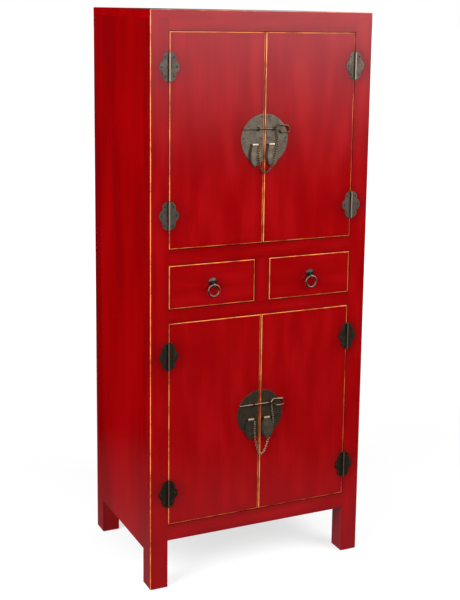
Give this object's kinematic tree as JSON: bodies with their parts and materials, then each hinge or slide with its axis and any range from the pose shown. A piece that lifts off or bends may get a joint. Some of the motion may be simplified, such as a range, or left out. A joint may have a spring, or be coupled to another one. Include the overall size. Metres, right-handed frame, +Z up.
{
  "type": "wedding cabinet",
  "caption": "Tall lacquered cabinet on four square legs: upper and lower pairs of inset doors with round split lock plates, drawers with ring pulls between them.",
  "frame": {"origin": "on the floor at the centre of the four posts' footprint", "axes": "+Z up, +X to the right as one faces the doors, the doors face -Y"},
  "size_m": [0.54, 0.3992, 1.31],
  "materials": {
    "red_lacquer": "red lacquer, satin, rubbed through to gold ochre on the edges",
    "inner_wood": "dark stained, matt",
    "aged_brass": "aged, dull",
    "dark_metal": "dark, dull",
    "chain_metal": "aged links"
  },
  "bodies": {
    "carcass": {"apron_front": "red_lacquer", "back_panel": "inner_wood", "deck_drawers": "inner_wood", "floor_lower": "inner_wood", "floor_upper": "inner_wood", "hinge_leaves_frame": "aged_brass", "hinge_pins": "dark_metal", "nails_frame": "dark_metal", "partition_drawers": "inner_wood", "post_back_left": "red_lacquer", "post_back_right": "red_lacquer", "post_front_left": "red_lacquer", "post_front_right": "red_lacquer", "rail_front_lower": "red_lacquer", "rail_front_top": "red_lacquer", "rail_front_upper": "red_lacquer", "rails_back": "inner_wood", "shelves": "inner_wood", "side_panel_left": "red_lacquer", "side_panel_right": "red_lacquer", "stile_centre": "red_lacquer", "strips_inner": "inner_wood", "top_board": "red_lacquer"},
    "door_upper_left": {"door_upper_left": "red_lacquer", "hinge_leaves_upper_left": "aged_brass", "nails_upper_left": "dark_metal", "lock_plate_upper_left": "aged_brass", "staples_upper_left": "aged_brass", "chain_upper": "chain_metal"},
    "pull_upper_left": {"pull_upper_left": "aged_brass"},
    "door_upper_right": {"door_upper_right": "red_lacquer", "hinge_leaves_upper_right": "aged_brass", "nails_upper_right": "dark_metal", "lock_plate_upper_right": "aged_brass", "staples_upper_right": "aged_brass"},
    "pull_upper_right": {"pull_upper_right": "aged_brass"},
    "lock_pin_upper": {"lock_pin_upper": "aged_brass"},
    "door_lower_left": {"door_lower_left": "red_lacquer", "hinge_leaves_lower_left": "aged_brass", "nails_lower_left": "dark_metal", "lock_plate_lower_left": "aged_brass", "staples_lower_left": "aged_brass", "chain_lower": "chain_metal"},
    "pull_lower_left": {"pull_lower_left": "aged_brass"},
    "door_lower_right": {"door_lower_right": "red_lacquer", "hinge_leaves_lower_right": "aged_brass", "nails_lower_right": "dark_metal", "lock_plate_lower_right": "aged_brass", "staples_lower_right": "aged_brass"},
    "pull_lower_right": {"pull_lower_right": "aged_brass"},
    "lock_pin_lower": {"lock_pin_lower": "aged_brass"},
    "drawer_left": {"drawer_front_left": "red_lacquer", "drawer_box_left": "inner_wood", "ring_mount_left": "aged_brass"},
    "ring_left": {"ring_left": "aged_brass"},
    "drawer_right": {"drawer_front_right": "red_lacquer", "drawer_box_right": "inner_wood", "ring_mount_right": "aged_brass"},
    "ring_right": {"ring_right": "aged_brass"}
  },
  "joints": [
    {"name": "door_upper_left_hinge", "type": "hinge", "parent": "carcass", "child": "door_upper_left", "pos_m": [-0.22725, -0.1957, 1.029], "axis": [0, 0, -1], "range_deg": [0, 170]},
    {"name": "door_upper_right_hinge", "type": "hinge", "parent": "carcass", "child": "door_upper_right", "pos_m": [0.22725, -0.1957, 1.029], "axis": [0, 0, 1], "range_deg": [0, 170]},
    {"name": "pull_upper_left_swing", "type": "hinge", "parent": "door_upper_left", "child": "pull_upper_left", "pos_m": [-0.024, -0.1976, 1.017], "axis": [-1, 0, 0], "range_deg": [0, 150]},
    {"name": "pull_upper_right_swing", "type": "hinge", "parent": "door_upper_right", "child": "pull_upper_right", "pos_m": [0.0165, -0.1976, 1.017], "axis": [-1, 0, 0], "range_deg": [0, 150]},
    {"name": "lock_pin_upper_slide", "type": "slide", "parent": "door_upper_left", "child": "lock_pin_upper", "axis": [1, 0, 0], "range_m": [0, 0.08], "deforming": ["chain_upper"]},
    {"name": "door_lower_left_hinge", "type": "hinge", "parent": "carcass", "child": "door_lower_left", "pos_m": [-0.22725, -0.1957, 0.3895], "axis": [0, 0, -1], "range_deg": [0, 170]},
    {"name": "door_lower_right_hinge", "type": "hinge", "parent": "carcass", "child": "door_lower_right", "pos_m": [0.22725, -0.1957, 0.3895], "axis": [0, 0, 1], "range_deg": [0, 170]},
    {"name": "pull_lower_left_swing", "type": "hinge", "parent": "door_lower_left", "child": "pull_lower_left", "pos_m": [-0.024, -0.1976, 0.3775], "axis": [-1, 0, 0], "range_deg": [0, 150]},
    {"name": "pull_lower_right_swing", "type": "hinge", "parent": "door_lower_right", "child": "pull_lower_right", "pos_m": [0.0165, -0.1976, 0.3775], "axis": [-1, 0, 0], "range_deg": [0, 139]},
    {"name": "lock_pin_lower_slide", "type": "slide", "parent": "door_lower_left", "child": "lock_pin_lower", "axis": [1, 0, 0], "range_m": [0, 0.08], "deforming": ["chain_lower"]},
    {"name": "drawer_left_slide", "type": "slide", "parent": "carcass", "child": "drawer_left", "axis": [0, -1, 0], "range_m": [0, 0.22]},
    {"name": "ring_left_swing", "type": "hinge", "parent": "drawer_left", "child": "ring_left", "pos_m": [-0.1225, -0.2024, 0.70725], "axis": [-1, 0, 0], "range_deg": [-10, 160]},
    {"name": "drawer_right_slide", "type": "slide", "parent": "carcass", "child": "drawer_right", "axis": [0, -1, 0], "range_m": [0, 0.22]},
    {"name": "ring_right_swing", "type": "hinge", "parent": "drawer_right", "child": "ring_right", "pos_m": [0.1225, -0.2024, 0.70725], "axis": [-1, 0, 0], "range_deg": [-10, 160]}
  ]
}
